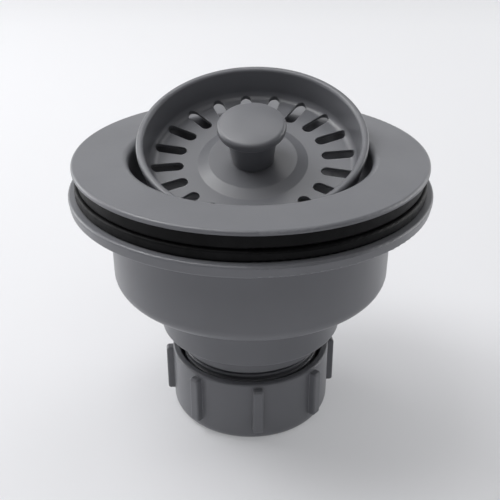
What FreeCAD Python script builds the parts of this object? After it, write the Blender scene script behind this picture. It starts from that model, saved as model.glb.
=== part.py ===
import FreeCAD, Part
import math
import os
from types import SimpleNamespace

import Sketcher

# Basket strainer waste for a kitchen sink, in millimetres.
# The part stands on its outlet nut: the origin is the middle of the nut's underside, +Z is up,
# and the front of the object is towards -Y.

SIZES = {
    # Outlet nut
    "nut_height": 23.6,
    "nut_radius": 27.8,
    "nut_bore": 24.1,
    "nut_hole": 20.6,
    "nut_floor": 3.5,
    "entry_play": 0.3,
    "entry_depth": 5.2,
    "entry_fall": 1.2,
    "nut_top_round": 0.7,
    "nut_foot_round": 3.5,
    "nut_turned": 5.0,
    "rib_count": 8,
    "rib_reach": 2.4,
    "rib_width": 3.4,
    "rib_below_top": 1.2,
    "rib_above_foot": 5.0,
    "rib_end_round": 1.0,
    "rib_side_round": 0.6,
    # Sealing washer in the nut
    "washer_height": 3.0,
    "washer_hole": 20.9,
    "washer_play": 0.4,
    # Body: outlet, drum, bowl and rim
    "outlet_radius": 23.25,
    "outlet_bore": 20.0,
    "outlet_drop": 8.0,
    "outlet_round": 0.6,
    "neck_gap": 9.7,
    "collar_radius": 25.0,
    "collar_height": 6.8,
    "collar_round": 0.5,
    "drum_radius": 32.0,
    "drum_draft": 1.0,
    "drum_height": 15.0,
    "drum_floor": 3.0,
    "drum_floor_fall": 1.3,
    "drum_round": 1.0,
    "body_wall": 2.4,
    "bowl_play": 3.3,
    "bowl_draft": 0.4,
    "bowl_slope_radius": 40.8,
    "bowl_slope_rise": 2.0,
    "bowl_slope_round": 18.0,
    "bowl_turn_rise": 5.0,
    "bowl_turn_round": 4.8,
    "bowl_height": 33.1,
    "rim_radius": 58.8,
    "rim_height": 3.9,
    "rim_draft": 0.6,
    "rim_round": 0.8,
    "rim_fillet": 1.5,
    "inner_round": 1.2,
    # Pillar inside the body, its webs and thread insert
    "pillar_radius": 7.0,
    "pillar_gap": 1.5,
    "web_count": 4,
    "web_width": 2.6,
    "web_height": 10.0,
    "web_root": 1.2,
    "insert_radius": 4.5,
    "insert_length": 12.0,
    "insert_recess": 1.0,
    "insert_play": 0.05,
    # Rubber gaskets
    "body_gasket_height": 3.4,
    "body_gasket_radius": 56.5,
    "body_gasket_width": 9.0,
    "flange_gasket_height": 4.8,
    "flange_gasket_radius": 55.5,
    "flange_gasket_width": 8.0,
    "gasket_round": 0.8,
    # Sink flange with its cup
    "flange_radius": 57.0,
    "flange_plate": 1.5,
    "flange_edge_round": 0.9,
    "flange_foot_round": 0.3,
    "mouth_radius": 39.0,
    "mouth_round": 2.2,
    "cup_depth": 19.0,
    "cup_wall": 1.8,
    "cup_floor": 2.4,
    "cup_corner": 3.0,
    "hub_radius": 8.0,
    "hub_depth": 2.6,
    "hub_round": 0.8,
    "drain_count": 8,
    "drain_radius": 3.2,
    "drain_ring": 12.3,
    # Clamping screw
    "screw_radius": 3.0,
    "screw_play": 0.3,
    "screw_head_radius": 5.8,
    "screw_head_height": 2.8,
    "screw_length": 22.0,
    "screw_slot_width": 1.4,
    "screw_slot_depth": 1.3,
    # Strainer basket
    "basket_tilt": 20.45,
    "basket_turn": -5.0,
    "seat_gap": 0.1,
    "basket_play": 3.0,
    "basket_draft": 0.9,
    "basket_wall": 1.5,
    "basket_base": 1.1,
    "basket_depth": 11.25,
    "basket_corner": 2.8,
    "lip_overhang": 0.9,
    "lip_height": 2.2,
    "lip_round": 1.05,
    "lip_under_round": 0.6,
    "slot_count": 20,
    "slot_width": 4.0,
    "slot_start": 23.1,
    "slot_end": 34.1,
    "boss_radius": 14.8,
    "boss_foot": 18.5,
    "boss_height": 1.45,
    "boss_round": 0.4,
    # Knob with the spigot that goes through the boss
    "knob_radius": 11.2,
    "knob_height": 15.6,
    "knob_crown_radius": 6.0,
    "knob_crown_fall": 1.0,
    "knob_crown_round": 36.0,
    "knob_edge_height": 3.0,
    "knob_edge_round": 1.45,
    "knob_under_fall": 0.8,
    "knob_throat_round": 1.6,
    "stem_top_radius": 8.4,
    "stem_foot_radius": 7.0,
    "spigot_radius": 3.0,
    "spigot_play": 0.1,
    # Rubber stopper, its washer and screw
    "stopper_height": 4.2,
    "stopper_radius": 17.0,
    "stopper_taper": 1.5,
    "stopper_edge": 2.0,
    "stopper_recess_radius": 8.0,
    "stopper_recess": 2.7,
    "stopper_play": 0.3,
    "stopper_washer_radius": 7.0,
    "stopper_washer_height": 1.0,
    "stopper_screw_radius": 1.6,
    "stopper_screw_length": 9.0,
    "stopper_screw_head": 3.5,
    "stopper_screw_head_height": 1.5,
    "stopper_screw_head_round": 0.8,
    "pilot_play": 0.05,
}

UP = FreeCAD.Vector(0, 0, 1)
RIGHT = FreeCAD.Vector(1, 0, 0)
FULL_TURN = 360
NEAR = 0.0001
# A rounding takes up to this share of a run, which leaves room for the rounding at its other end.
RUN_SHARE = 0.48

# The sketcher's own numbers for the points of a curve and for its two axes.
START, END, CENTRE = 1, 2, 3
LEVEL_AXIS, UPRIGHT_AXIS = -1, -2


class Size:
    """A length together with the spreadsheet formula that gives it."""

    def __init__(self, value, formula):
        self.value = value
        self.formula = formula

    def __add__(self, other):
        return Size(self.value + other.value, f"({self.formula} + {other.formula})")

    def __sub__(self, other):
        return Size(self.value - other.value, f"({self.formula} - {other.formula})")

    def half(self):
        return Size(self.value / 2, f"({self.formula} / 2)")


def rounding_in_runs(wanted, before, corner, after):
    """The wanted rounding of a corner, or as much of it as the runs on either side have room for."""
    runs = [(corner[0] - before[0], corner[1] - before[1]), (after[0] - corner[0], after[1] - corner[1])]
    lengths = [math.hypot(across.value, up.value) for across, up in runs]
    angles = [math.atan2(up.value, across.value) for across, up in runs]
    room = RUN_SHARE * min(lengths) / math.tan(abs(angles[1] - angles[0]) / 2)
    length_formulas = "; ".join(f"hypot({across.formula}; {up.formula})" for across, up in runs)
    angle_formulas = " - ".join(f"atan2({up.formula}; {across.formula})" for across, up in runs)
    room_formula = f"{RUN_SHARE} * min({length_formulas}) / tan(abs({angle_formulas}) / 2)"
    return Size(min(wanted.value, room), f"min({wanted.formula}; {room_formula})")


size = SimpleNamespace(**{name: Size(value, f"Sizes.{name}") for name, value in SIZES.items()})
AXIS = Size(0, "0")

# Heights that several pieces share, from the nut's underside up.
washer_top = size.nut_floor + size.washer_height
outlet_end = washer_top + size.outlet_drop
drum_bottom = size.nut_height + size.neck_gap
drum_top = drum_bottom + size.drum_height
rim_bottom = drum_top + size.bowl_height
rim_top = rim_bottom + size.rim_height
gasket_joint = rim_top + size.body_gasket_height
flange_bottom = gasket_joint + size.flange_gasket_height
flange_top = flange_bottom + size.flange_plate
cup_floor_top = flange_top - size.cup_depth
cup_floor_bottom = cup_floor_top - size.cup_floor
hub_bottom = cup_floor_bottom - size.hub_depth
pillar_top = hub_bottom - size.pillar_gap
insert_top = pillar_top - size.insert_recess
insert_bottom = insert_top - size.insert_length
screw_tip = cup_floor_top - size.screw_length

# Radii of the cup in the bowl and of the basket in the cup.
cup_outer = size.mouth_radius + size.cup_wall
bowl_radius = cup_outer + size.bowl_play + size.body_wall
basket_radius = size.mouth_radius - size.basket_play

# Heights in the basket's own frame, from the underside of its stopper up.
basket_bottom = size.stopper_height
basket_floor = basket_bottom + size.basket_base
basket_top = basket_floor + size.basket_depth
boss_under = basket_bottom + size.boss_height
boss_top = basket_floor + size.boss_height
stopper_seat = size.stopper_recess
knob_top = boss_top + size.knob_height
basket_corner_outer = size.basket_corner + size.basket_wall
spigot_hole = size.spigot_radius + size.spigot_play

doc = FreeCAD.newDocument("basket_strainer_waste")


def write_sheet():
    """The driving sizes, one named cell each."""
    sheet = doc.addObject("Spreadsheet::Sheet", "Sizes")
    for row, (name, value) in enumerate(SIZES.items(), start=1):
        sheet.set(f"A{row}", name)
        sheet.set(f"B{row}", str(value))
        sheet.setAlias(f"B{row}", name)
    doc.recompute()


def origin_feature(body, role):
    return next(item for item in body.Origin.OriginFeatures if item.Role == role)


def new_body(label):
    body = doc.addObject("PartDesign::Body", label)
    body.Label = label
    return body


def new_sketch(body, name, plane):
    sketch = body.newObject("Sketcher::SketchObject", name)
    sketch.AttachmentSupport = [(origin_feature(body, plane), "")]
    sketch.MapMode = "FlatFace"
    return sketch


def bind(sketch, kind, places, length):
    """Add a constraint and tie its value to the length's formula."""
    index = sketch.addConstraint(Sketcher.Constraint(kind, *places, length.value))
    sketch.setExpression(f"Constraints[{index}]", length.formula)


def pin_point(sketch, geometry, vertex, across, up):
    """Hold one point of the sketch at its distances from the origin."""
    if across.value == 0:
        sketch.addConstraint(Sketcher.Constraint("PointOnObject", geometry, vertex, UPRIGHT_AXIS))
    else:
        bind(sketch, "DistanceX", (LEVEL_AXIS, START, geometry, vertex), across)
    if up.value == 0:
        sketch.addConstraint(Sketcher.Constraint("PointOnObject", geometry, vertex, LEVEL_AXIS))
    else:
        bind(sketch, "DistanceY", (LEVEL_AXIS, START, geometry, vertex), up)


def rounded_corner(before, corner, after, radius):
    """The two tangent points and the arc of a rounded corner, and whether the arc runs anticlockwise."""
    back = (before - corner).normalize()
    ahead = (after - corner).normalize()
    half_angle = back.getAngle(ahead) / 2
    setback = radius / math.tan(half_angle)
    start = corner + back * setback
    end = corner + ahead * setback
    middle = (back + ahead).normalize()
    centre = corner + middle * (radius / math.sin(half_angle))
    anticlockwise = ahead.cross(back).z > 0
    first, last = (start, end) if anticlockwise else (end, start)
    angles = [math.atan2(point.y - centre.y, point.x - centre.x) for point in (first, last)]
    arc = Part.ArcOfCircle(Part.Circle(centre, UP, radius), angles[0], angles[1])
    return start, end, arc, anticlockwise


def draw_outline(sketch, corners):
    """A closed outline of straight runs; a corner is (across, up) or (across, up, rounding)."""
    points = [FreeCAD.Vector(corner[0].value, corner[1].value, 0) for corner in corners]
    count = len(corners)
    rounds = []
    for i, corner in enumerate(corners):
        if len(corner) > 2:
            rounds.append(rounded_corner(points[i - 1], points[i], points[(i + 1) % count], corner[2].value))
        else:
            rounds.append((points[i], points[i], None, True))
    lines = []
    for i in range(count):
        lines.append(sketch.addGeometry(Part.LineSegment(rounds[i][1], rounds[(i + 1) % count][0])))
    for i, corner in enumerate(corners):
        arriving, leaving = lines[i - 1], lines[i]
        arc, anticlockwise = rounds[i][2:]
        if arc is None:
            sketch.addConstraint(Sketcher.Constraint("Coincident", arriving, END, leaving, START))
            pin_point(sketch, leaving, START, corner[0], corner[1])
            continue
        bend = sketch.addGeometry(arc)
        first, last = (START, END) if anticlockwise else (END, START)
        sketch.addConstraint(Sketcher.Constraint("Tangent", arriving, END, bend, first))
        sketch.addConstraint(Sketcher.Constraint("Tangent", bend, last, leaving, START))
        bind(sketch, "Radius", (bend,), corner[2])
        apex = sketch.addGeometry(Part.Point(points[i]), True)
        sketch.addConstraint(Sketcher.Constraint("PointOnObject", apex, START, arriving))
        sketch.addConstraint(Sketcher.Constraint("PointOnObject", apex, START, leaving))
        pin_point(sketch, apex, START, corner[0], corner[1])


def turn(body, kind, name, corners):
    """Turn an outline of (radius, height) corners about the body's Z axis, to add or to cut."""
    sketch = new_sketch(body, f"{name}_outline", "XZ_Plane")
    draw_outline(sketch, corners)
    turned = body.newObject(f"PartDesign::{kind}", name)
    turned.Profile = sketch
    turned.ReferenceAxis = (sketch, ["V_Axis"])
    turned.Angle = FULL_TURN
    body.Tip = turned
    doc.recompute()


def turned_body(label, corners):
    body = new_body(label)
    turn(body, "Revolution", f"{label}_turned", corners)
    return body


def repeat_round(body, feature, count):
    """Repeat a feature evenly about the body's Z axis."""
    pattern = body.newObject("PartDesign::PolarPattern", f"{feature.Name}_ring")
    pattern.Originals = [feature]
    pattern.Axis = (origin_feature(body, "Z_Axis"), [""])
    pattern.Angle = FULL_TURN
    pattern.setExpression("Occurrences", count.formula)
    body.Tip = pattern
    doc.recompute()
    return pattern


def pad_across(body, sketch, name, width):
    """A pad of that width, half of it on each side of the sketch."""
    pad = body.newObject("PartDesign::Pad", name)
    pad.Profile = sketch
    pad.Midplane = True
    pad.setExpression("Length", width.formula)
    doc.recompute()
    return pad


def cut_through(body, sketch, name):
    """A pocket through the whole body, both ways from the sketch."""
    before = body.Shape.Volume
    pocket = body.newObject("PartDesign::Pocket", name)
    pocket.Profile = sketch
    pocket.Type = "ThroughAll"
    pocket.Midplane = True
    doc.recompute()
    if body.Shape.Volume >= before:
        raise RuntimeError(f"{name} cuts nothing")
    return pocket


def make_nut():
    """Coupling nut: a floor that holds the washer, a bore for the thread, a wider entry that goes over
    the body's collar, and grip ribs outside."""
    entry = size.collar_radius + size.entry_play
    entry_end = size.nut_height - size.entry_depth
    body = turned_body("outlet_nut", [
        (size.nut_hole, AXIS),
        (size.nut_radius, AXIS, size.nut_foot_round),
        (size.nut_radius, size.nut_height, size.nut_top_round),
        (entry, size.nut_height, size.nut_top_round),
        (entry, entry_end),
        (size.nut_bore, entry_end - size.entry_fall),
        (size.nut_bore, size.nut_floor),
        (size.nut_hole, size.nut_floor),
    ])
    rib_outer = size.nut_radius + size.rib_reach
    rib_root = size.nut_radius - size.rib_reach.half()
    rib_top = size.nut_height - size.rib_below_top
    sketch = new_sketch(body, "rib_side_view", "XZ_Plane")
    draw_outline(sketch, [
        (rib_root, size.rib_above_foot),
        (rib_outer, size.rib_above_foot, size.rib_end_round),
        (rib_outer, rib_top, size.rib_end_round),
        (rib_root, rib_top),
    ])
    ribs = repeat_round(body, pad_across(body, sketch, "rib", size.rib_width), size.rib_count)
    reach = math.hypot(rib_outer.value, size.rib_width.value / 2)
    corners = [f"Edge{i}" for i, edge in enumerate(ribs.Shape.Edges, start=1) if is_upright(edge, reach)]
    soft = body.newObject("PartDesign::Fillet", "rib_sides")
    soft.Base = (ribs, corners)
    soft.setExpression("Radius", size.rib_side_round.formula)
    body.Tip = soft
    body.Placement = FreeCAD.Placement(FreeCAD.Vector(), FreeCAD.Rotation(UP, size.nut_turned.value))
    return body


def is_upright(edge, radius):
    """Whether the edge is a straight upright one at that distance from the Z axis."""
    ends = [vertex.Point for vertex in edge.Vertexes]
    if len(ends) < 2 or not isinstance(edge.Curve, Part.Line):
        return False
    return all(abs(math.hypot(point.x, point.y) - radius) < NEAR for point in ends)


def make_outlet_washer():
    outer = size.nut_bore - size.washer_play
    return turned_body("outlet_washer", [
        (size.washer_hole, size.nut_floor),
        (outer, size.nut_floor),
        (outer, washer_top),
        (size.washer_hole, washer_top),
    ])


def make_waste_body():
    """Rim, bowl, drum and outlet turned as one shell, with the pillar on crossed webs inside the drum."""
    drum_foot = size.drum_radius - size.drum_draft
    bowl_foot = bowl_radius - size.bowl_draft
    slope_height = drum_top + size.bowl_slope_rise
    turn_height = drum_top + size.bowl_turn_rise
    drum_inside = drum_bottom + size.drum_floor
    collar_bottom = drum_bottom - size.collar_height
    wall = size.body_wall
    drum_edge = (size.drum_radius, drum_top)
    slope_edge = (size.bowl_slope_radius, slope_height)
    turn_edge = (bowl_foot, turn_height)
    bowl_edge = (bowl_radius, rim_bottom)
    slope_round = rounding_in_runs(size.bowl_slope_round, drum_edge, slope_edge, turn_edge)
    turn_round = rounding_in_runs(size.bowl_turn_round, slope_edge, turn_edge, bowl_edge)
    body = turned_body("waste_body", [
        (size.outlet_bore, outlet_end, size.outlet_round),
        (size.outlet_radius, outlet_end, size.outlet_round),
        (size.outlet_radius, collar_bottom),
        (size.collar_radius, collar_bottom, size.collar_round),
        (size.collar_radius, drum_bottom, size.collar_round),
        (drum_foot, drum_bottom, size.drum_round),
        (*drum_edge, size.inner_round),
        (*slope_edge, slope_round),
        (*turn_edge, turn_round),
        (*bowl_edge, size.rim_fillet),
        (size.rim_radius - size.rim_draft, rim_bottom, size.rim_round),
        (size.rim_radius, rim_top, size.rim_round),
        (bowl_radius - wall, rim_top, size.inner_round),
        (bowl_foot - wall, turn_height + wall, turn_round - wall.half()),
        (size.bowl_slope_radius - wall, slope_height + wall, slope_round),
        (size.drum_radius - wall, drum_top + wall, size.inner_round),
        (drum_foot - wall, drum_inside, size.inner_round),
        (size.outlet_bore, drum_inside - size.drum_floor_fall),
    ])
    pillar_foot = drum_inside - size.drum_floor_fall
    add_webs(body, drum_foot - wall + size.web_root, pillar_foot)
    add_pillar(body, pillar_foot)
    return body


def add_webs(body, reach, foot):
    """Webs from the axis out into the drum's wall, which carry the pillar."""
    sketch = new_sketch(body, "web_side_view", "XZ_Plane")
    draw_outline(sketch, [
        (AXIS, foot),
        (reach, foot),
        (reach, foot + size.web_height),
        (AXIS, foot + size.web_height),
    ])
    repeat_round(body, pad_across(body, sketch, "web", size.web_width), size.web_count)


def add_pillar(body, foot):
    """The pillar on the webs, with a pocket for the thread insert, and cored right through below it."""
    pocket = size.insert_radius + size.insert_play
    core = size.screw_radius + size.screw_play
    turn(body, "Revolution", "pillar", [
        (AXIS, foot),
        (size.pillar_radius, foot),
        (size.pillar_radius, pillar_top, size.outlet_round),
        (AXIS, pillar_top),
    ])
    turn(body, "Groove", "pillar_core", [
        (AXIS, foot),
        (core, foot),
        (core, insert_bottom),
        (pocket, insert_bottom),
        (pocket, pillar_top),
        (AXIS, pillar_top),
    ])


def make_pillar_insert():
    bore = size.screw_radius + size.insert_play
    return turned_body("pillar_insert", [
        (bore, insert_bottom),
        (size.insert_radius, insert_bottom),
        (size.insert_radius, insert_top),
        (bore, insert_top),
    ])


def make_gasket(label, radius, width, bottom, top):
    hole = radius - width
    return turned_body(label, [
        (hole, bottom),
        (radius, bottom, size.gasket_round),
        (radius, top, size.gasket_round),
        (hole, top),
    ])


def make_flange():
    """Plate and cup in one, with a countersunk hub for the screw and a ring of drain holes."""
    screw_hole = size.screw_radius + size.screw_play
    body = turned_body("sink_flange", [
        (screw_hole, hub_bottom),
        (size.hub_radius, hub_bottom, size.hub_round),
        (size.hub_radius, cup_floor_bottom, size.hub_round),
        (cup_outer, cup_floor_bottom, size.cup_corner),
        (cup_outer, flange_bottom, size.hub_round),
        (size.flange_radius, flange_bottom, size.flange_foot_round),
        (size.flange_radius, flange_top, size.flange_edge_round),
        (size.mouth_radius, flange_top, size.mouth_round),
        (size.mouth_radius, cup_floor_top, size.cup_corner),
        (size.screw_head_radius + size.screw_play, cup_floor_top),
        (screw_hole, cup_floor_top - size.screw_head_height),
    ])
    sketch = new_sketch(body, "drain_hole_plan", "XY_Plane")
    centre = FreeCAD.Vector(size.drain_ring.value, 0, 0)
    hole = sketch.addGeometry(Part.Circle(centre, UP, size.drain_radius.value))
    pin_point(sketch, hole, CENTRE, size.drain_ring, AXIS)
    bind(sketch, "Radius", (hole,), size.drain_radius)
    repeat_round(body, cut_through(body, sketch, "drain_hole"), size.drain_count)
    return body


def make_clamp_screw():
    """Countersunk screw with a driver slot."""
    body = turned_body("clamp_screw", [
        (AXIS, screw_tip),
        (size.screw_radius, screw_tip, size.hub_round),
        (size.screw_radius, cup_floor_top - size.screw_head_height),
        (size.screw_head_radius, cup_floor_top),
        (AXIS, cup_floor_top),
    ])
    before = body.Shape.Volume
    half_width = size.screw_slot_width.half()
    floor = cup_floor_top - size.screw_slot_depth
    sketch = new_sketch(body, "driver_slot_view", "XZ_Plane")
    draw_outline(sketch, [
        (AXIS, floor),
        (half_width, floor),
        (half_width, cup_floor_top),
        (AXIS, cup_floor_top),
    ])
    half_slot = body.newObject("PartDesign::Pocket", "driver_slot_half")
    half_slot.Profile = sketch
    half_slot.Type = "ThroughAll"
    half_slot.Midplane = True
    doc.recompute()
    slot = body.newObject("PartDesign::Mirrored", "driver_slot")
    slot.Originals = [half_slot]
    slot.MirrorPlane = (origin_feature(body, "YZ_Plane"), [""])
    body.Tip = slot
    doc.recompute()
    if body.Shape.Volume >= before:
        raise RuntimeError("the driver slot cuts nothing")
    return body


def make_basket():
    """Shallow dish with a rolled lip and a raised boss; the slots run over its rounded corner."""
    wall_outer_top = basket_radius + size.basket_draft
    lip_outer = wall_outer_top + size.lip_overhang
    lip_under = basket_top - size.lip_height
    body = turned_body("strainer_basket", [
        (spigot_hole, boss_under),
        (size.boss_radius, boss_under, size.boss_round),
        (size.boss_foot, basket_bottom, size.boss_round),
        (basket_radius, basket_bottom, basket_corner_outer),
        (wall_outer_top, lip_under, size.lip_under_round),
        (lip_outer, lip_under, size.lip_under_round),
        (lip_outer, basket_top, size.lip_round),
        (wall_outer_top - size.basket_wall, basket_top, size.lip_round),
        (basket_radius - size.basket_wall, basket_floor, size.basket_corner),
        (size.boss_foot, basket_floor, size.boss_round),
        (size.boss_radius, boss_top, size.boss_round),
        (spigot_hole, boss_top),
    ])
    sketch = new_sketch(body, "slot_plan", "XY_Plane")
    draw_slot(sketch)
    repeat_round(body, cut_through(body, sketch, "slot"), size.slot_count)
    return body


def draw_slot(sketch):
    """A straight slot with round ends, along +Y."""
    half = size.slot_width.half()
    inner = size.slot_start + half
    outer = size.slot_end - half
    inner_centre = FreeCAD.Vector(0, inner.value, 0)
    outer_centre = FreeCAD.Vector(0, outer.value, 0)
    side = RIGHT * half.value
    right = sketch.addGeometry(Part.LineSegment(inner_centre + side, outer_centre + side))
    outer_end = sketch.addGeometry(Part.ArcOfCircle(Part.Circle(outer_centre, UP, half.value), 0, math.pi))
    left = sketch.addGeometry(Part.LineSegment(outer_centre - side, inner_centre - side))
    inner_end = sketch.addGeometry(
        Part.ArcOfCircle(Part.Circle(inner_centre, UP, half.value), math.pi, 2 * math.pi))
    runs = [right, outer_end, left, inner_end]
    for i, run in enumerate(runs):
        sketch.addConstraint(Sketcher.Constraint("Tangent", runs[i - 1], END, run, START))
    pin_point(sketch, inner_end, CENTRE, AXIS, inner)
    pin_point(sketch, outer_end, CENTRE, AXIS, outer)
    bind(sketch, "Radius", (outer_end,), half)


def make_knob():
    """Mushroom knob on a stem that widens upwards, with a spigot and a pilot hole for its screw."""
    pilot = size.stopper_screw_radius + size.pilot_play
    pilot_top = stopper_seat - size.stopper_washer_height + size.stopper_screw_length + size.spigot_play
    edge_top = knob_top - size.knob_crown_fall
    edge_bottom = edge_top - size.knob_edge_height
    return turned_body("basket_knob", [
        (AXIS, knob_top),
        (AXIS, pilot_top),
        (pilot, pilot_top),
        (pilot, stopper_seat),
        (size.spigot_radius, stopper_seat),
        (size.spigot_radius, boss_top),
        (size.stem_foot_radius, boss_top),
        (size.stem_top_radius, edge_bottom - size.knob_under_fall, size.knob_throat_round),
        (size.knob_radius, edge_bottom, size.knob_edge_round),
        (size.knob_radius, edge_top, size.knob_edge_round),
        (size.knob_crown_radius, knob_top, size.knob_crown_round),
    ])


def make_stopper():
    """Rubber plug that fills the hollow under the boss, with a recess below for the washer and screw."""
    plug = size.boss_radius - size.stopper_play
    edge = size.stopper_height - size.stopper_edge
    return turned_body("basket_stopper", [
        (spigot_hole, boss_under),
        (plug, boss_under),
        (plug, basket_bottom),
        (size.stopper_radius, basket_bottom),
        (size.stopper_radius, edge),
        (size.stopper_radius - size.stopper_taper, AXIS),
        (size.stopper_recess_radius, AXIS),
        (size.stopper_recess_radius, stopper_seat),
        (spigot_hole, stopper_seat),
    ])


def make_stopper_washer():
    hole = size.stopper_screw_radius + size.pilot_play
    bottom = stopper_seat - size.stopper_washer_height
    return turned_body("stopper_washer", [
        (hole, bottom),
        (size.stopper_washer_radius, bottom),
        (size.stopper_washer_radius, stopper_seat),
        (hole, stopper_seat),
    ])


def make_stopper_screw():
    """Pan-headed screw, driven up through the washer into the knob."""
    seat = stopper_seat - size.stopper_washer_height
    head_bottom = seat - size.stopper_screw_head_height
    tip = seat + size.stopper_screw_length
    return turned_body("stopper_screw", [
        (AXIS, head_bottom),
        (size.stopper_screw_head, head_bottom, size.stopper_screw_head_round),
        (size.stopper_screw_head, seat),
        (size.stopper_screw_radius, seat),
        (size.stopper_screw_radius, tip),
        (AXIS, tip),
    ])


def clear_of_flange(radius, height):
    """Distance of a point from the flange's mouth and plate, by radius and height."""
    inward = size.mouth_radius.value + size.mouth_round.value - radius
    upward = height - flange_top.value + size.mouth_round.value
    if inward > 0 and upward > 0:
        return math.hypot(inward, upward) - size.mouth_round.value
    return max(inward, upward) - size.mouth_round.value


def basket_seat():
    """Placement of the basket set askew: its front corner stands on the cup's floor and its sides
    lean on the mouth's rounded edge, with the back raised by the tilt."""
    tilt = math.radians(size.basket_tilt.value)
    corner = basket_corner_outer.value
    wall_height = size.basket_base.value + size.basket_depth.value - size.lip_height.value
    wall_lean = math.atan2(size.basket_draft.value, wall_height)
    ring = basket_radius.value - corner / math.tan((math.pi / 2 + wall_lean) / 2)
    gap = size.seat_gap.value
    ring_height = cup_floor_top.value + gap + corner + ring * math.sin(tilt)

    def clearance(ring_back):
        distances = []
        for degree in range(FULL_TURN):
            angle = math.radians(degree)
            across = ring * math.sin(angle)
            back = ring_back + ring * math.cos(angle) * math.cos(tilt)
            height = ring_height + ring * math.cos(angle) * math.sin(tilt)
            distances.append(clear_of_flange(math.hypot(across, back), height) - corner)
        return min(distances)

    near, far = 0, size.mouth_radius.value
    while far - near > NEAR:
        middle = (near + far) / 2
        near, far = (middle, far) if clearance(middle) > gap else (near, middle)
    lift = basket_bottom.value + corner
    base = FreeCAD.Vector(0, near + lift * math.sin(tilt), ring_height - lift * math.cos(tilt))
    facing = FreeCAD.Rotation(UP, size.basket_turn.value)
    lean = FreeCAD.Rotation(RIGHT, size.basket_tilt.value)
    half_pitch = FreeCAD.Rotation(UP, FULL_TURN / size.slot_count.value / 2)
    return FreeCAD.Placement(facing.multVec(base), facing * lean * half_pitch)


def make_parts():
    upright = [
        make_nut(),
        make_outlet_washer(),
        make_waste_body(),
        make_pillar_insert(),
        make_gasket("body_gasket", size.body_gasket_radius, size.body_gasket_width,
                    rim_top, gasket_joint),
        make_gasket("flange_gasket", size.flange_gasket_radius, size.flange_gasket_width,
                    gasket_joint, flange_bottom),
        make_flange(),
        make_clamp_screw(),
    ]
    askew = [make_basket(), make_knob(), make_stopper(), make_stopper_washer(), make_stopper_screw()]
    seat = basket_seat()
    for body in askew:
        body.Placement = seat
    doc.recompute()
    return upright + askew


def check_parts(parts):
    for item in doc.Objects:
        if "Invalid" in item.State or "Error" in item.State:
            raise RuntimeError(f"{item.Name} did not build: {item.State}")
    for body in parts:
        if body.Shape.isNull() or not body.Shape.isValid() or len(body.Shape.Solids) != 1:
            raise RuntimeError(f"{body.Label} is not one valid solid")


def write_parts(parts):
    os.makedirs("parts", exist_ok=True)
    for body in parts:
        body.Shape.exportStep(f"parts/{body.Label}.step")
        box = body.Shape.BoundBox
        print(f"{body.Label}: {body.Shape.Volume:.0f} mm3, z {box.ZMin:.2f} to {box.ZMax:.2f}")


write_sheet()
all_parts = make_parts()
check_parts(all_parts)
write_parts(all_parts)
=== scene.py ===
# %% [markdown]
# # A basket strainer waste
#
# This lesson dresses a sink's basket strainer waste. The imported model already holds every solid
# at its true size, so the first step loads it as a fixed frame. What is left for Blender is the
# studio, the finish of each material, and the screw threads, which the solids leave plain.

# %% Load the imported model
import math

import bmesh
import bpy
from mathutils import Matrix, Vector


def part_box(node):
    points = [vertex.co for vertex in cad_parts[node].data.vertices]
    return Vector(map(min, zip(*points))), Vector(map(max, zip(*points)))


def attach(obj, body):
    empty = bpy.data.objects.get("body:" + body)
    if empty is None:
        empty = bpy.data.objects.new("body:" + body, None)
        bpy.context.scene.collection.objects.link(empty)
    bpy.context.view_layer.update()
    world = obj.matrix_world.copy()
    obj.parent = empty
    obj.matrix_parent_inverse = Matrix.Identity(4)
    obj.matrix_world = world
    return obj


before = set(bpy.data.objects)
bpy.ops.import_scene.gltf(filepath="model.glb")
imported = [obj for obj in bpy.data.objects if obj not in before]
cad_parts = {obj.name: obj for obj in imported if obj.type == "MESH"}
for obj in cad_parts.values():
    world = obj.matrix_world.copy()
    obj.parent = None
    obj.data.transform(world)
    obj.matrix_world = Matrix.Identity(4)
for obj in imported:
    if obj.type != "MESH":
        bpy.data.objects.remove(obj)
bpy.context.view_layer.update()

MM = 0.001
scene = bpy.context.scene
print("nodes:", ", ".join(sorted(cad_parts)))

# %% [markdown]
# ## Camera
#
# The camera stands in front of the object and looks down on it. Its place, its tilt and its lens
# decide how round the flange looks, so they come before any finish. A constraint could aim the
# camera, but plain angles are easier to match to a photograph. The lens is given in millimetres
# on a 36 mm wide sensor, the way a photographer would say it. The Standard view shows greys as
# they are set, without a film's curve.

# %% Camera at the photograph's angle
SENSOR_WIDTH = 36.0
LENS = 60.3
CAMERA_PLACE = (-0.0002, -0.2526, 0.1921)
CAMERA_TILT_DOWN = 27.66

lens = bpy.data.cameras.new("studio_camera")
lens.sensor_width = SENSOR_WIDTH
lens.lens = LENS
camera = bpy.data.objects.new("studio_camera", lens)
camera.location = CAMERA_PLACE
camera.rotation_euler = (math.radians(90 - CAMERA_TILT_DOWN), 0, 0)
scene.collection.objects.link(camera)
scene.camera = camera
scene.view_settings.view_transform = "Standard"
print("camera", tuple(camera.location), "tilted down by", CAMERA_TILT_DOWN, "degrees")

# %% [markdown]
# ## Materials from nodes
#
# Every finish here is a small network of nodes around one Principled shader. Painted pictures
# could colour the pieces too, but they need an unwrapped mesh, and a network fits any piece. Two
# helpers keep the networks short: one starts a material, and one adds a node with its settings.

# %% Start a material and add a node
def start_material(name):
    material = bpy.data.materials.new(name)
    material.use_nodes = True
    tree = material.node_tree
    shader = tree.nodes["Principled BSDF"]
    return material, tree, shader


def add_node(tree, kind, inputs=(), **settings):
    """Adds a node; inputs are (socket, value) pairs, and a value that is a socket is linked."""
    node = tree.nodes.new(kind)
    for name, value in settings.items():
        setattr(node, name, value)
    for socket, value in inputs:
        if isinstance(value, bpy.types.NodeSocket):
            tree.links.new(value, node.inputs[socket])
        else:
            node.inputs[socket].default_value = value
    return node


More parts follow.
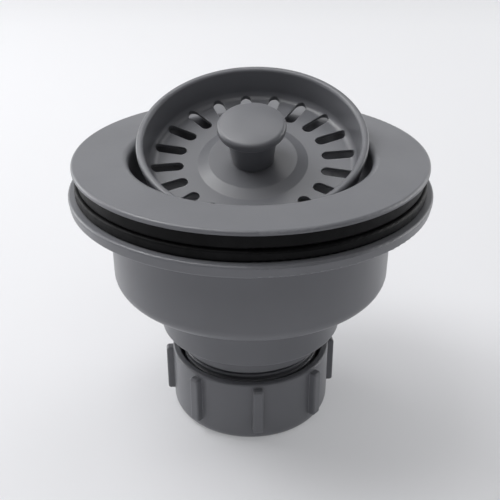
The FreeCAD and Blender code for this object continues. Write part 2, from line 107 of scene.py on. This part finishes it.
print("a material starts from one Principled shader")

# %% [markdown]
# ## Patterns
#
# No real surface is the same all over, so noise patterns feed the colour, the roughness and the
# bump. They read Object coordinates, which are in metres and stay with the piece, so a noise
# scale of 1000 gives grains of about a millimetre. Most of a noise lies between 0.3 and 0.7, and
# a Map Range node spreads that part over the values that a finish needs.

# %% Noise and its range
NOISE_LOW, NOISE_HIGH = 0.3, 0.7


def object_place(tree):
    return add_node(tree, "ShaderNodeTexCoord").outputs["Object"]


def add_noise(tree, place, scale, detail, roughness=0.5):
    """A noise pattern between 0 and 1 at that place."""
    node = add_node(tree, "ShaderNodeTexNoise", [
        ("Vector", place), ("Scale", scale), ("Detail", detail), ("Roughness", roughness)])
    return node.outputs["Fac"]


def spread(tree, value, low, high, first, last):
    """Stretches the part of a pattern from low to high over the values from first to last."""
    node = add_node(tree, "ShaderNodeMapRange", [
        ("Value", value), ("From Min", low), ("From Max", high),
        ("To Min", first), ("To Max", last)])
    return node.outputs["Result"]


print("noise is spread from", NOISE_LOW, "to", NOISE_HIGH)

# %% [markdown]
# ## Colours and bumps from patterns
#
# A pattern mixes two colours, or it tilts the surface's normal a little, as a fine relief would.
# The Mix node has sockets for numbers, vectors and colours under the same names, so the colour
# ones are picked by their places in the list.

# %% Mix colours and add a bump
MIX_FACTOR, MIX_FIRST, MIX_SECOND = 0, 6, 7
MIX_RESULT = 2


def mix_colours(tree, factor, first, second):
    """Goes from the first colour to the second; the first may be a socket."""
    node = add_node(tree, "ShaderNodeMix", [(MIX_FACTOR, factor)], data_type="RGBA")
    for place, colour in ((MIX_FIRST, first), (MIX_SECOND, second)):
        if isinstance(colour, bpy.types.NodeSocket):
            tree.links.new(colour, node.inputs[place])
        else:
            node.inputs[place].default_value = (*colour, 1)
    return node.outputs[MIX_RESULT]


def add_bump(tree, height, distance, strength, normal=None):
    """A normal tilted by the pattern's height, on top of another normal where one is given."""
    inputs = [("Height", height), ("Distance", distance), ("Strength", strength)]
    if normal is not None:
        inputs.append(("Normal", normal))
    return add_node(tree, "ShaderNodeBump", inputs).outputs["Normal"]


print("patterns can mix colours and raise bumps")

# %% [markdown]
# ## Rubbed edges and painted highlights
#
# Handling rubs the edges of a moulding first and leaves them a little paler. Their pale colour is
# made stronger than wear alone, so that it also paints on the highlight that rounded edges catch.
# The pale edges could be painted by hand, but the Bevel node finds them on any piece: where its
# rounded normal leaves the surface's own, there is an edge. The rounded normal is used as well,
# since no moulded edge is knife-sharp.

# %% Find the edges
EDGE_REACH = 0.4 * MM
EDGE_RAYS = 4
SMOOTH_LIKENESS, EDGE_LIKENESS = 0.99, 0.8


# The mask marks where the pale colour goes: partly wear, partly painted highlight.
def worn_and_highlit_edges(tree):
    """A mask that is 1 on edges and 0 on smooth ground, and the normal rounded at the edges."""
    rounded = add_node(tree, "ShaderNodeBevel", [("Radius", EDGE_REACH)], samples=EDGE_RAYS)
    surface = add_node(tree, "ShaderNodeNewGeometry")
    likeness = add_node(tree, "ShaderNodeVectorMath", [
        (0, rounded.outputs["Normal"]), (1, surface.outputs["Normal"])], operation="DOT_PRODUCT")
    mask = spread(tree, likeness.outputs["Value"], SMOOTH_LIKENESS, EDGE_LIKENESS, 0.0, 1.0)
    return mask, rounded.outputs["Normal"]


print("edges are found within", EDGE_REACH / MM, "mm")

# %% [markdown]
# ## Satin grey plastic
#
# The flange, basket, knob, body and nut are moulded in one dark grey plastic. The mould has a
# fine spark-eroded skin, which breaks the gloss up into a satin. A flat grey would look like
# paint, so the colour drifts a little, the roughness varies as it does after handling, a fine
# grain makes the bump, and the edges are rubbed paler in patches, pale enough to be a painted
# highlight as well.

# %% Satin grey plastic
PLASTIC_GREY = (0.168, 0.171, 0.186)
DEEPER_SHARE = 0.92
# Painted highlight: this pale grey stands partly for wear and partly for light caught on the
# edges.
RUBBED_AND_HIGHLIGHT_GREY = (0.46, 0.465, 0.48)
WEAR_AND_HIGHLIGHT_LEAST, WEAR_AND_HIGHLIGHT_MOST = 0.4, 0.75
PLASTIC_GLOSSIEST, PLASTIC_DULLEST = 0.29, 0.38
GRAIN_DEPTH, GRAIN_STRENGTH = 0.03 * MM, 0.12
PLASTIC_IOR = 1.48


def satin_plastic():
    material, tree, shader = start_material("satin_grey_plastic")
    place = object_place(tree)
    clouds = add_noise(tree, place, scale=40, detail=3)
    drift = spread(tree, clouds, NOISE_LOW, NOISE_HIGH, 0.0, 1.0)
    deeper = tuple(DEEPER_SHARE * part for part in PLASTIC_GREY)
    ground = mix_colours(tree, drift, deeper, PLASTIC_GREY)
    edges, soft_normal = worn_and_highlit_edges(tree)
    patches = add_noise(tree, place, scale=160, detail=3)
    wear_and_highlight = spread(tree, patches, NOISE_LOW, NOISE_HIGH, WEAR_AND_HIGHLIGHT_LEAST, WEAR_AND_HIGHLIGHT_MOST)
    # Edge mask times patchy strength: where wear and the painted edge highlight show.
    rubbed_and_highlit = add_node(tree, "ShaderNodeMath", [(0, edges), (1, wear_and_highlight)], operation="MULTIPLY")
    colour = mix_colours(tree, rubbed_and_highlit.outputs[0], ground, RUBBED_AND_HIGHLIGHT_GREY)
    tree.links.new(colour, shader.inputs["Base Color"])
    touches = add_noise(tree, place, scale=55, detail=5, roughness=0.6)
    handled = spread(tree, touches, NOISE_LOW, NOISE_HIGH, PLASTIC_GLOSSIEST, PLASTIC_DULLEST)
    tree.links.new(handled, shader.inputs["Roughness"])
    grain = add_noise(tree, place, scale=5200, detail=2)
    bump = add_bump(tree, grain, GRAIN_DEPTH, GRAIN_STRENGTH, soft_normal)
    tree.links.new(bump, shader.inputs["Normal"])
    shader.inputs["IOR"].default_value = PLASTIC_IOR
    return material


grey_plastic = satin_plastic()
print("plastic:", len(grey_plastic.node_tree.nodes), "nodes")

# %% [markdown]
# ## Black rubber
#
# The two sink gaskets, the stopper and the washer in the nut are black rubber. Moulded rubber is
# matt and carries a thin grey bloom in patches. A plain black would do from afar, but three sizes
# of noise give the bloom, the uneven dullness and the skin. A low specular level keeps the pale
# floor from showing in it.

# %% Black rubber
RUBBER_BLACK = (0.004, 0.004, 0.0045)
RUBBER_BLOOM = (0.009, 0.009, 0.01)
BLOOM_LOW, BLOOM_HIGH = 0.45, 0.75
RUBBER_GLOSSIEST, RUBBER_DULLEST = 0.42, 0.56
SKIN_DEPTH, SKIN_STRENGTH = 0.04 * MM, 0.3
RUBBER_SPECULAR = 0.12


def moulded_rubber():
    material, tree, shader = start_material("black_rubber")
    place = object_place(tree)
    clouds = add_noise(tree, place, scale=90, detail=6, roughness=0.65)
    bloom = spread(tree, clouds, BLOOM_LOW, BLOOM_HIGH, 0.0, 1.0)
    colour = mix_colours(tree, bloom, RUBBER_BLACK, RUBBER_BLOOM)
    tree.links.new(colour, shader.inputs["Base Color"])
    patches = add_noise(tree, place, scale=400, detail=3)
    dull = spread(tree, patches, NOISE_LOW, NOISE_HIGH, RUBBER_GLOSSIEST, RUBBER_DULLEST)
    tree.links.new(dull, shader.inputs["Roughness"])
    skin = add_noise(tree, place, scale=3000, detail=3)
    bump = add_bump(tree, skin, SKIN_DEPTH, SKIN_STRENGTH)
    tree.links.new(bump, shader.inputs["Normal"])
    shader.inputs["Specular IOR Level"].default_value = RUBBER_SPECULAR
    return material


black_rubber = moulded_rubber()
print("rubber:", len(black_rubber.node_tree.nodes), "nodes")

# %% [markdown]
# ## Turned steel and brass
#
# The screws and the small washer are turned steel, and the thread insert is turned brass. A lathe
# leaves rings around the axis. An anisotropic gloss could hint at them, but a noise that depends
# only on the distance from the axis and the height draws the rings themselves. The pieces of the
# basket lean with it, so a Mapping node first turns their coordinates upright.

# %% Turned metal
METAL_GLOSSIEST, METAL_DULLEST = 0.24, 0.4
RING_DEPTH, RING_STRENGTH = 0.02 * MM, 0.3


def turned_metal(name, dark, bright, lean=0.0, facing=0.0, centre=(0.0, 0.0, 0.0)):
    """A metal with rings around an axis through the centre, which leans by some degrees."""
    material, tree, shader = start_material(name)
    upright = add_node(tree, "ShaderNodeMapping", [
        ("Vector", object_place(tree)), ("Location", centre),
        ("Rotation", (math.radians(lean), 0, math.radians(facing)))], vector_type="TEXTURE")
    place = upright.outputs["Vector"]
    flat = add_node(tree, "ShaderNodeVectorMath", [
        (0, place), (1, (1, 1, 0))], operation="MULTIPLY")
    radius = add_node(tree, "ShaderNodeVectorMath", [
        (0, flat.outputs["Vector"])], operation="LENGTH")
    height = add_node(tree, "ShaderNodeSeparateXYZ", [(0, place)])
    track = add_node(tree, "ShaderNodeCombineXYZ", [
        (0, radius.outputs["Value"]), (2, height.outputs["Z"])])
    rings = add_noise(tree, track.outputs["Vector"], scale=6000, detail=2)
    stain = add_noise(tree, place, scale=300, detail=4)
    tree.links.new(mix_colours(tree, stain, dark, bright), shader.inputs["Base Color"])
    brushed = spread(tree, rings, NOISE_LOW, NOISE_HIGH, METAL_GLOSSIEST, METAL_DULLEST)
    tree.links.new(brushed, shader.inputs["Roughness"])
    bump = add_bump(tree, rings, RING_DEPTH, RING_STRENGTH)
    tree.links.new(bump, shader.inputs["Normal"])
    shader.inputs["Metallic"].default_value = 1.0
    return material


print("turned metals have rings", RING_DEPTH / MM, "mm deep")

# %% Steel and brass
BASKET_TILT = 20.45
BASKET_TURN = -5.0
STEEL_DARK, STEEL_BRIGHT = (0.5, 0.5, 0.5), (0.66, 0.66, 0.65)
BRASS_DARK, BRASS_BRIGHT = (0.52, 0.36, 0.13), (0.7, 0.5, 0.2)

upright_steel = turned_metal("upright_steel", STEEL_DARK, STEEL_BRIGHT)
brass = turned_metal("turned_brass", BRASS_DARK, BRASS_BRIGHT)
washer_low, washer_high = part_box("stopper_washer")
leaning_steel = turned_metal(
    "leaning_steel", STEEL_DARK, STEEL_BRIGHT,
    BASKET_TILT, BASKET_TURN, (washer_low + washer_high) / 2)
print("metals:", upright_steel.name, leaning_steel.name, brass.name)

# %% [markdown]
# ## Finishes on the solids
#
# A solid keeps the mesh that the frame gave it, because its shape is already true. Only its
# material slot changes. The finishes could be set piece by piece, but one table shows at a glance
# which finish each piece has, and a loop hands them out.

# %% Give each solid its finish
FINISHES = {
    grey_plastic: ["sink_flange", "waste_body", "strainer_basket", "basket_knob", "outlet_nut"],
    black_rubber: ["flange_gasket", "body_gasket", "basket_stopper", "outlet_washer"],
    upright_steel: ["clamp_screw"],
    leaning_steel: ["stopper_screw", "stopper_washer"],
    brass: ["pillar_insert"],
}
for finish, nodes in FINISHES.items():
    for node in nodes:
        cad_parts[node].material_slots[0].material = finish
    print(finish.name, "on", ", ".join(nodes))

# %% [markdown]
# ## Threads of the outlet and the nut
#
# The outlet has a right-handed pipe thread of 11 ridges to the inch, and the nut runs on it. A
# thread is a small outline swept along a helix. A Screw modifier could sweep it, but the spin
# operator leaves a mesh that can be shaped further, when it is also given a step upwards for each
# step round. Each end of a real thread runs out into the plain wall, so there the ridge is drawn
# back to its root.

# %% Outline of a ridge
PITCH = 2.309 * MM
SUNK = 0.1 * MM
RIDGE_BASE = 0.85 * MM
RIDGE_TOP = 0.25 * MM
CREST_ROUNDING = 0.15


def ridge_outline(root, crest):
    """Corners of the ridge's outline as (radius, height), with a rounded-off crest."""
    near_crest = crest + (root - crest) * CREST_ROUNDING
    lower = [(root, -RIDGE_BASE), (near_crest, -RIDGE_TOP), (crest, -RIDGE_TOP / 2)]
    upper = [(radius, -height) for radius, height in reversed(lower)]
    return lower + upper


print("ridges repeat every", PITCH / MM, "mm")

# %% A ridge swept along a helix
STEPS_PER_TURN = 96
RUN_OUT = 0.3 * PITCH


def draw_ends_back(bm, root, low, high):
    """Draws the ridge back to the root's radius near its lowest and its highest end."""
    for vert in bm.verts:
        radius = math.hypot(vert.co.x, vert.co.y)
        inside = min(vert.co.z - low, high - vert.co.z) / RUN_OUT
        share = min(max(inside, 0.0), 1.0)
        kept = root + (radius - root) * share * share * (3 - 2 * share)
        vert.co.x *= kept / radius
        vert.co.y *= kept / radius


def make_thread(name, outline, low, turns):
    """Sweeps the closed outline up a helix from height low, and lets both ends run out."""
    bm = bmesh.new()
    corners = [bm.verts.new((radius, 0, low + height)) for radius, height in outline]
    edges = [bm.edges.new((corners[i - 1], corners[i])) for i in range(len(corners))]
    bmesh.ops.spin(
        bm, geom=corners + edges, cent=(0, 0, 0), axis=(0, 0, 1),
        dvec=(0, 0, PITCH / STEPS_PER_TURN), angle=turns * 2 * math.pi,
        steps=round(turns * STEPS_PER_TURN), use_merge=False, use_duplicate=False)
    ends = [edge for edge in bm.edges if edge.is_boundary]
    bmesh.ops.holes_fill(bm, edges=ends, sides=len(outline))
    root = outline[0][0]
    draw_ends_back(bm, root, low, low + turns * PITCH)
    bmesh.ops.recalc_face_normals(bm, faces=bm.faces)
    mesh = bpy.data.meshes.new(name)
    bm.to_mesh(mesh)
    bm.free()
    for face in mesh.polygons:
        face.use_smooth = True
    mesh.materials.append(grey_plastic)
    thread = bpy.data.objects.new(name, mesh)
    scene.collection.objects.link(thread)
    print(name, len(mesh.polygons), "faces,", round(turns, 2), "turns")
    return thread


print("a turn has", STEPS_PER_TURN, "steps")

# %% Thread on the outlet
OUTLET_WALL = 23.25 * MM
OUTLET_CREST = 23.9 * MM
OUTLET_TURNS = 4.3
FIRST_RIDGE = 0.6 * PITCH

thread_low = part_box("waste_body")[0].z + FIRST_RIDGE
outlet_thread = make_thread(
    "outlet_thread", ridge_outline(OUTLET_WALL - SUNK, OUTLET_CREST), thread_low, OUTLET_TURNS)
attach(outlet_thread, "waste")

# %% [markdown]
# The nut's ridge points inwards, so its crest is nearer the axis than its wall. It starts a whole
# number of turns and a half below the outlet's, so that the one ridge lies in the groove of the
# other.

# %% Thread in the nut
NUT_WALL = 24.1 * MM
NUT_CREST = 23.45 * MM
NUT_TURNS = 3.8
NUT_DROP = 3.5 * PITCH

nut_thread = make_thread(
    "nut_thread", ridge_outline(NUT_WALL + SUNK, NUT_CREST), thread_low - NUT_DROP, NUT_TURNS)
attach(nut_thread, "nut")

# %% [markdown]
# ## Floor
#
# The object stands on a plain pale floor that glows faintly, like a light table, which keeps its
# shadow soft and pale. More lights could soften the shadow too, but they would also brighten the
# object. The glow rises a little towards the back. The floor is so wide that its edge lies near
# the horizon.

# %% Floor
FLOOR_RADIUS = 40.0
FLOOR_SIDES = 96
FLOOR_GREY = (0.52, 0.52, 0.538)
FLOOR_ROUGHNESS = 0.75
GLOW_COLOUR = (0.97, 0.98, 1)
GLOW_FRONT, GLOW_BACK = 0.25, 0.38
GLOW_DEPTH = 0.6

floor_mesh = bpy.data.meshes.new("studio_floor")
bm = bmesh.new()
bmesh.ops.create_circle(bm, cap_ends=True, segments=FLOOR_SIDES, radius=FLOOR_RADIUS)
bm.to_mesh(floor_mesh)
bm.free()
floor = bpy.data.objects.new("studio_floor", floor_mesh)
scene.collection.objects.link(floor)
pale, tree, shader = start_material("pale_floor")
shader.inputs["Base Color"].default_value = (*FLOOR_GREY, 1)
shader.inputs["Roughness"].default_value = FLOOR_ROUGHNESS
shader.inputs["Emission Color"].default_value = (*GLOW_COLOUR, 1)
depth = add_node(tree, "ShaderNodeSeparateXYZ", [(0, object_place(tree))]).outputs["Y"]
glow = spread(tree, depth, 0.0, GLOW_DEPTH, GLOW_FRONT, GLOW_BACK)
tree.links.new(glow, shader.inputs["Emission Strength"])
floor_mesh.materials.append(pale)
print("floor", FLOOR_RADIUS, "m")

# %% [markdown]
# ## Lights
#
# Satin plastic shows the size of its lights, so they are area lights, as soft as a studio's
# softboxes. One wide softbox hangs above. Smaller ones above the left side, on the left and behind
# make the left sides brighter than the right ones and throw the knob's shadow forwards. A weak
# one in front opens the shadows, two low ones behind draw the sides of the bowl, and a broad
# backdrop gives the flange its even sheen.

# %% Lights
OBJECT_MIDDLE = (0, 0, 0.06)


def softbox(name, place, aim, size, watts):
    """An area light at that place, turned to its aim, with its size in metres."""
    light = bpy.data.lights.new(name, "AREA")
    light.shape = "RECTANGLE"
    light.size, light.size_y = size
    light.energy = watts
    lamp = bpy.data.objects.new(name, light)
    lamp.location = place
    lamp.rotation_euler = (Vector(aim) - Vector(place)).to_track_quat("-Z", "Y").to_euler()
    scene.collection.objects.link(lamp)
    print(name, watts, "W")


softbox("overhead_softbox", (0, 0, 1.1), (0, 0, 0), (1.3, 1.3), 3.0)
softbox("left_top_softbox", (-0.36, 0.04, 1.0), OBJECT_MIDDLE, (0.5, 0.5), 3.5)
softbox("left_key_softbox", (-0.6, 0.15, 0.8), OBJECT_MIDDLE, (0.4, 0.3), 2.4)
softbox("back_key_softbox", (-0.3, 0.52, 0.81), OBJECT_MIDDLE, (0.3, 0.3), 0.8)
softbox("back_top_softbox", (0.1, 0.36, 1.02), OBJECT_MIDDLE, (0.4, 0.4), 0.8)
softbox("front_top_softbox", (0, -0.6, 0.9), OBJECT_MIDDLE, (0.6, 0.3), 1.2)
softbox("back_left_softbox", (-1.0, 0.5, 0.35), OBJECT_MIDDLE, (0.8, 0.6), 5.8)
softbox("back_right_softbox", (1.0, 0.5, 0.35), OBJECT_MIDDLE, (0.8, 0.6), 3.8)
softbox("backdrop_softbox", (0, 1.6, 0.5), (0, 0, 0.3), (3.0, 1.4), 7.0)

# %% [markdown]
# ## Horizon
#
# Seen from low down, the picture reaches past the floor's edge. There the air glows about as pale
# as the far floor, so no black band shows. A wall all round could do that too, but it would stand
# in the way of the lights. The glow depends on how steeply a direction climbs, and it fades out
# above the horizon, so that it adds little light to the object.

# %% Pale horizon
HORIZON_GLOW = 0.34
HORIZON_LOW, HORIZON_HIGH = 0.1, 0.36

world = bpy.data.worlds.new("studio_air")
world.use_nodes = True
tree = world.node_tree
direction = add_node(tree, "ShaderNodeTexCoord").outputs["Generated"]
climb = add_node(tree, "ShaderNodeSeparateXYZ", [(0, direction)]).outputs["Z"]
air = tree.nodes["Background"]
air.inputs["Color"].default_value = (*GLOW_COLOUR, 1)
glow = spread(tree, climb, HORIZON_LOW, HORIZON_HIGH, HORIZON_GLOW, 0.0)
tree.links.new(glow, air.inputs["Strength"])
scene.world = world
print("horizon glows up to", round(math.degrees(math.asin(HORIZON_HIGH))), "degrees above level")
